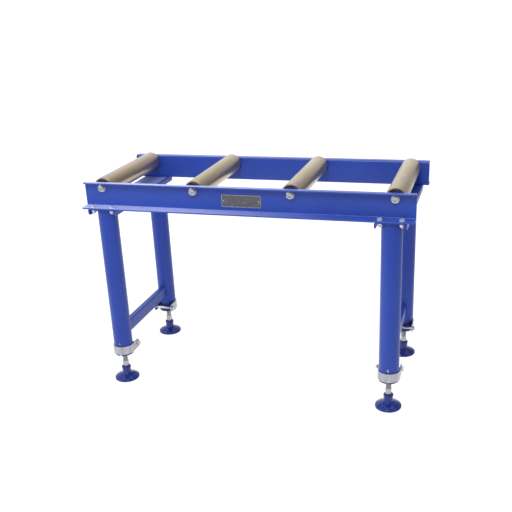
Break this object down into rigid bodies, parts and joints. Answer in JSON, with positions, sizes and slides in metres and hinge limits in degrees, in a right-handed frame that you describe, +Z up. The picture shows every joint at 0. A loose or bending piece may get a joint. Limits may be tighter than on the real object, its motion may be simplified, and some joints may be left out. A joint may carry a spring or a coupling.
{
  "type": "roller stand",
  "caption": "Workshop roller table: two folded side rails carry free-running rollers on welded leg frames with telescoping legs, strap clamps and screw feet.",
  "frame": {"origin": "centre of the stand's footprint, on the floor under the foot pads", "axes": "+X along the side rails to the right, +Y from the front rail to the rear one, +Z up"},
  "size_m": [1, 0.452, 0.68],
  "materials": {
    "blue_powder_coat": "satin powder coat",
    "foot_enamel": "glossy enamel",
    "bright_zinc": "bright zinc plating",
    "yellow_passivate": "yellow passivated zinc",
    "dark_hub": "dark pressed steel",
    "bearing_steel": "ground steel"
  },
  "bodies": {
    "frame": {"front_rail": "blue_powder_coat", "rear_rail": "blue_powder_coat", "left_top_channel": "blue_powder_coat", "right_top_channel": "blue_powder_coat", "left_cross_bar": "blue_powder_coat", "right_cross_bar": "blue_powder_coat", "leg_tube_front_left": "blue_powder_coat", "leg_tube_front_right": "blue_powder_coat", "leg_tube_rear_left": "blue_powder_coat", "leg_tube_rear_right": "blue_powder_coat", "clamp_strap_front_left": "bright_zinc", "clamp_strap_front_right": "bright_zinc", "clamp_strap_rear_left": "bright_zinc", "clamp_strap_rear_right": "bright_zinc", "clamp_bolts": "bright_zinc", "clamp_nuts": "bright_zinc", "roller_axle_1": "bearing_steel", "roller_axle_2": "bearing_steel", "roller_axle_3": "bearing_steel", "roller_axle_4": "bearing_steel", "bearing_inner_rings": "bearing_steel", "axle_spacers": "bright_zinc", "axle_bolts": "bright_zinc", "axle_washers": "bright_zinc", "rail_bolts": "bright_zinc", "rail_washers": "bright_zinc", "rail_nuts": "bright_zinc"},
    "roller_1": {"roller_tube_1": "yellow_passivate", "roller_hubs_1": "dark_hub", "roller_bearings_1": "bearing_steel"},
    "roller_2": {"roller_tube_2": "yellow_passivate", "roller_hubs_2": "dark_hub", "roller_bearings_2": "bearing_steel"},
    "roller_3": {"roller_tube_3": "yellow_passivate", "roller_hubs_3": "dark_hub", "roller_bearings_3": "bearing_steel"},
    "roller_4": {"roller_tube_4": "yellow_passivate", "roller_hubs_4": "dark_hub", "roller_bearings_4": "bearing_steel"},
    "inner_leg_front_left": {"inner_tube_front_left": "bright_zinc", "spindle_nut_front_left": "bright_zinc"},
    "foot_front_left": {"foot_pad_front_left": "foot_enamel"},
    "foot_screw_front_left": {"spindle_front_left": "bright_zinc"},
    "inner_leg_front_right": {"inner_tube_front_right": "bright_zinc", "spindle_nut_front_right": "bright_zinc"},
    "foot_front_right": {"foot_pad_front_right": "foot_enamel"},
    "foot_screw_front_right": {"spindle_front_right": "bright_zinc"},
    "inner_leg_rear_left": {"inner_tube_rear_left": "bright_zinc", "spindle_nut_rear_left": "bright_zinc"},
    "foot_rear_left": {"foot_pad_rear_left": "foot_enamel"},
    "foot_screw_rear_left": {"spindle_rear_left": "bright_zinc"},
    "inner_leg_rear_right": {"inner_tube_rear_right": "bright_zinc", "spindle_nut_rear_right": "bright_zinc"},
    "foot_rear_right": {"foot_pad_rear_right": "foot_enamel"},
    "foot_screw_rear_right": {"spindle_rear_right": "bright_zinc"}
  },
  "joints": [
    {"name": "roller_spin_1", "type": "hinge", "parent": "frame", "child": "roller_1", "pos_m": [-0.4425, 0, 0.65], "axis": [0, 1, 0], "continuous": true},
    {"name": "roller_spin_2", "type": "hinge", "parent": "frame", "child": "roller_2", "pos_m": [-0.1475, 0, 0.65], "axis": [0, 1, 0], "continuous": true},
    {"name": "roller_spin_3", "type": "hinge", "parent": "frame", "child": "roller_3", "pos_m": [0.1475, 0, 0.65], "axis": [0, 1, 0], "continuous": true},
    {"name": "roller_spin_4", "type": "hinge", "parent": "frame", "child": "roller_4", "pos_m": [0.4425, 0, 0.65], "axis": [0, 1, 0], "continuous": true},
    {"name": "leg_slide_front_left", "type": "slide", "parent": "frame", "child": "inner_leg_front_left", "axis": [0, 0, -1], "range_m": [0, 0.3]},
    {"name": "foot_travel_front_left", "type": "slide", "parent": "inner_leg_front_left", "child": "foot_front_left", "axis": [0, 0, -1], "range_m": [-0.026, 0.032]},
    {"name": "foot_screw_turn_front_left", "type": "hinge", "parent": "foot_front_left", "child": "foot_screw_front_left", "pos_m": [-0.435, -0.184, 0.053], "axis": [0, 0, -1], "range_deg": [-4700, 5780]},
    {"name": "leg_slide_front_right", "type": "slide", "parent": "frame", "child": "inner_leg_front_right", "axis": [0, 0, -1], "range_m": [0, 0.3]},
    {"name": "foot_travel_front_right", "type": "slide", "parent": "inner_leg_front_right", "child": "foot_front_right", "axis": [0, 0, -1], "range_m": [-0.026, 0.032]},
    {"name": "foot_screw_turn_front_right", "type": "hinge", "parent": "foot_front_right", "child": "foot_screw_front_right", "pos_m": [0.435, -0.184, 0.053], "axis": [0, 0, -1], "range_deg": [-4700, 5780]},
    {"name": "leg_slide_rear_left", "type": "slide", "parent": "frame", "child": "inner_leg_rear_left", "axis": [0, 0, -1], "range_m": [0, 0.3]},
    {"name": "foot_travel_rear_left", "type": "slide", "parent": "inner_leg_rear_left", "child": "foot_rear_left", "axis": [0, 0, -1], "range_m": [-0.026, 0.032]},
    {"name": "foot_screw_turn_rear_left", "type": "hinge", "parent": "foot_rear_left", "child": "foot_screw_rear_left", "pos_m": [-0.435, 0.184, 0.053], "axis": [0, 0, -1], "range_deg": [-4700, 5780]},
    {"name": "leg_slide_rear_right", "type": "slide", "parent": "frame", "child": "inner_leg_rear_right", "axis": [0, 0, -1], "range_m": [0, 0.3]},
    {"name": "foot_travel_rear_right", "type": "slide", "parent": "inner_leg_rear_right", "child": "foot_rear_right", "axis": [0, 0, -1], "range_m": [-0.026, 0.032]},
    {"name": "foot_screw_turn_rear_right", "type": "hinge", "parent": "foot_rear_right", "child": "foot_screw_rear_right", "pos_m": [0.435, 0.184, 0.053], "axis": [0, 0, -1], "range_deg": [-4700, 5780]}
  ],
  "couplings": [
    {"joint": "foot_screw_turn_front_left", "follows": "foot_travel_front_left", "rad_per_m": 3141.6},
    {"joint": "foot_screw_turn_front_right", "follows": "foot_travel_front_right", "rad_per_m": 3141.6},
    {"joint": "foot_screw_turn_rear_left", "follows": "foot_travel_rear_left", "rad_per_m": 3141.6},
    {"joint": "foot_screw_turn_rear_right", "follows": "foot_travel_rear_right", "rad_per_m": 3141.6}
  ]
}
